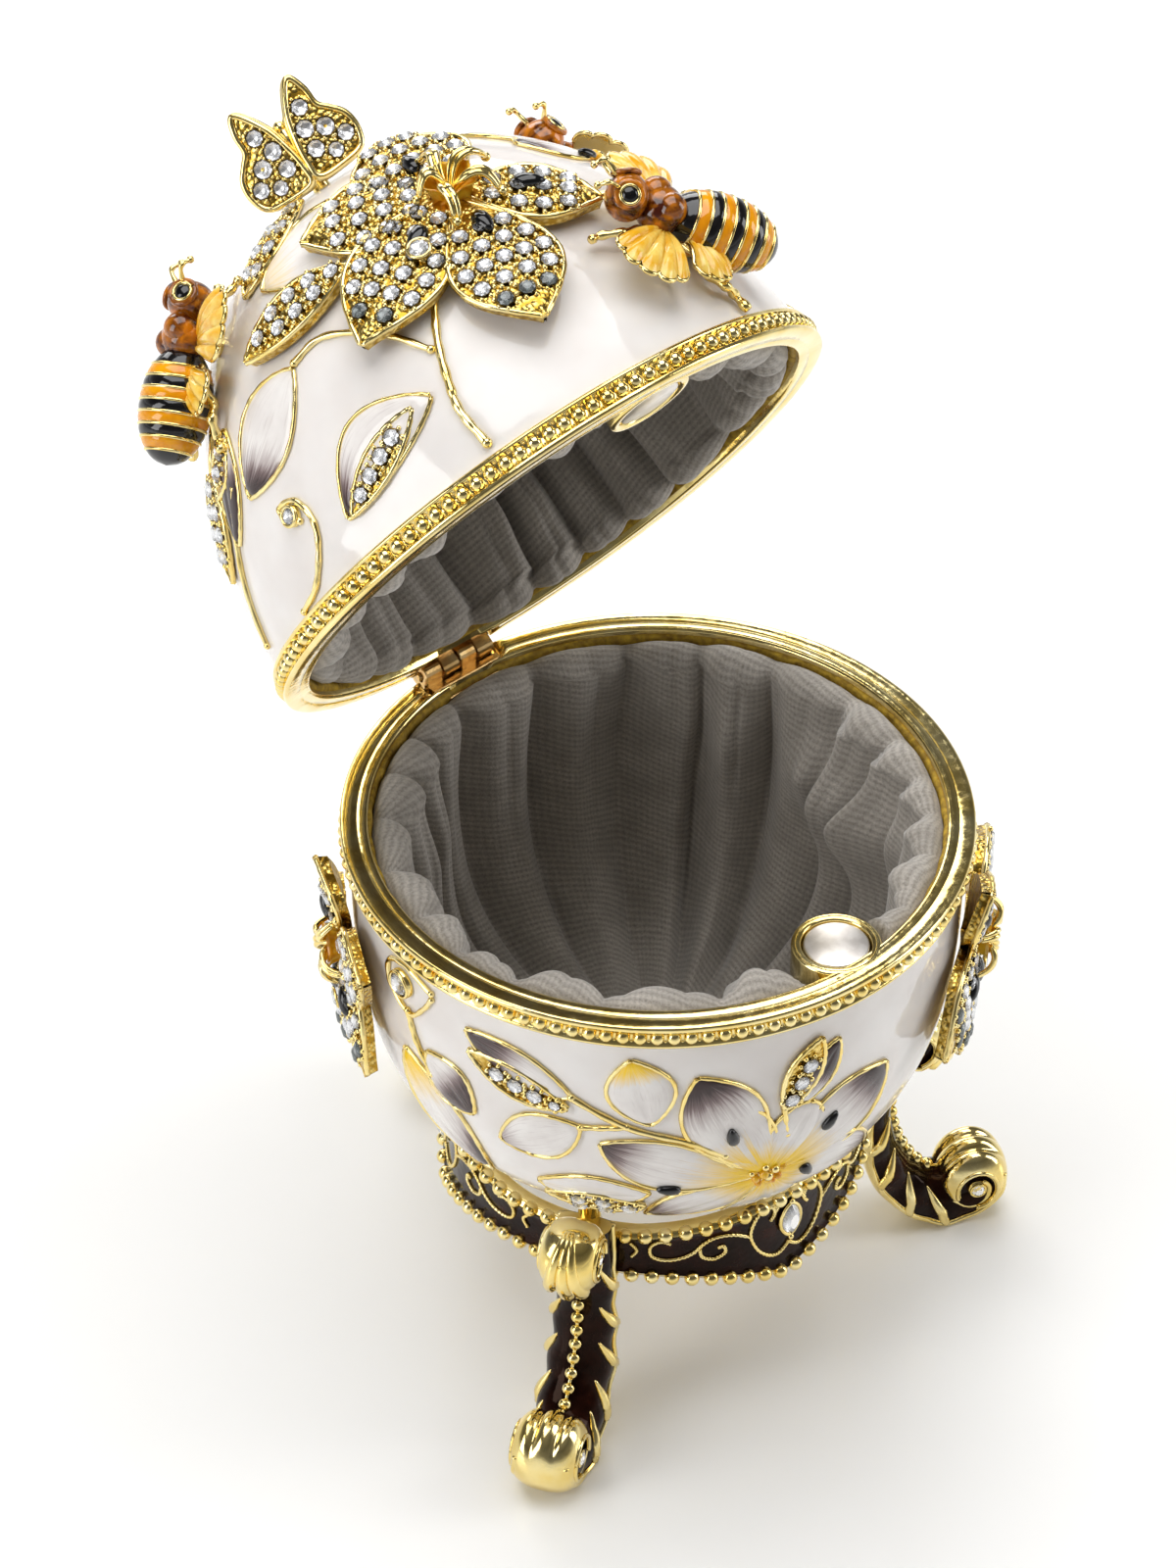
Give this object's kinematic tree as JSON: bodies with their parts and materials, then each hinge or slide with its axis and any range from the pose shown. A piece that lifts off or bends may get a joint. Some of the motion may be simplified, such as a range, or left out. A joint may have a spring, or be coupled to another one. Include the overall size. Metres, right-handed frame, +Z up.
{
  "type": "jewelled egg trinket box",
  "caption": "Enamelled egg trinket box with a hinged lid, jewelled orchids, bees and a butterfly, grey fleece lining and a scroll-legged stand.",
  "frame": {"origin": "on the floor, under the middle of the whole object's bounding box with the lid open as at rest", "axes": "+Z up; -Y is the front, where the magnets meet; the hinge is at +Y and its axis is along X"},
  "size_m": [0.0986, 0.1234, 0.1825],
  "materials": {
    "enamelled_metal": "glossy warm white enamel with raised gold wires on a cast, gold-plated shell",
    "gold_plate": "polished pale gold plate on cast metal, set with clear and dark stones",
    "dark_enamelled_metal": "glossy dark brown enamel with gold-plated edges, beads and scrolls",
    "bee_enamel": "amber, yellow and black enamel on cast, gold-plated metal",
    "fleece": "brushed grey knit fleece, gathered in folds",
    "magnet": "plated disc magnet, satin",
    "crystal": "clear cut crystal, marquise"
  },
  "bodies": {
    "bowl_and_stand": {"bowl": "enamelled_metal", "bowl_lining": "fleece", "bowl_magnet": "magnet", "bowl_hinge_leaf": "gold_plate", "hinge_pin": "gold_plate", "apron": "dark_enamelled_metal", "leg_back": "dark_enamelled_metal", "leg_left": "dark_enamelled_metal", "leg_right": "dark_enamelled_metal", "apron_crystal_left": "crystal", "apron_crystal_front": "crystal", "apron_crystal_right": "crystal", "bowl_orchid_right": "gold_plate", "bowl_orchid_left": "gold_plate"},
    "hinged_lid": {"lid": "enamelled_metal", "lid_lining": "fleece", "lid_magnet": "magnet", "lid_hinge_leaf": "gold_plate", "lid_orchid": "gold_plate", "lid_spray_leaf": "gold_plate", "bee_right": "bee_enamel", "bee_left": "bee_enamel", "bee_back": "bee_enamel", "butterfly": "gold_plate"}
  },
  "joints": [
    {"name": "lid_hinge", "type": "hinge", "parent": "bowl_and_stand", "child": "hinged_lid", "pos_m": [-0.00031, 0.02988, 0.088], "axis": [-1, 0, 0], "range_deg": [-58.5, 0]}
  ]
}
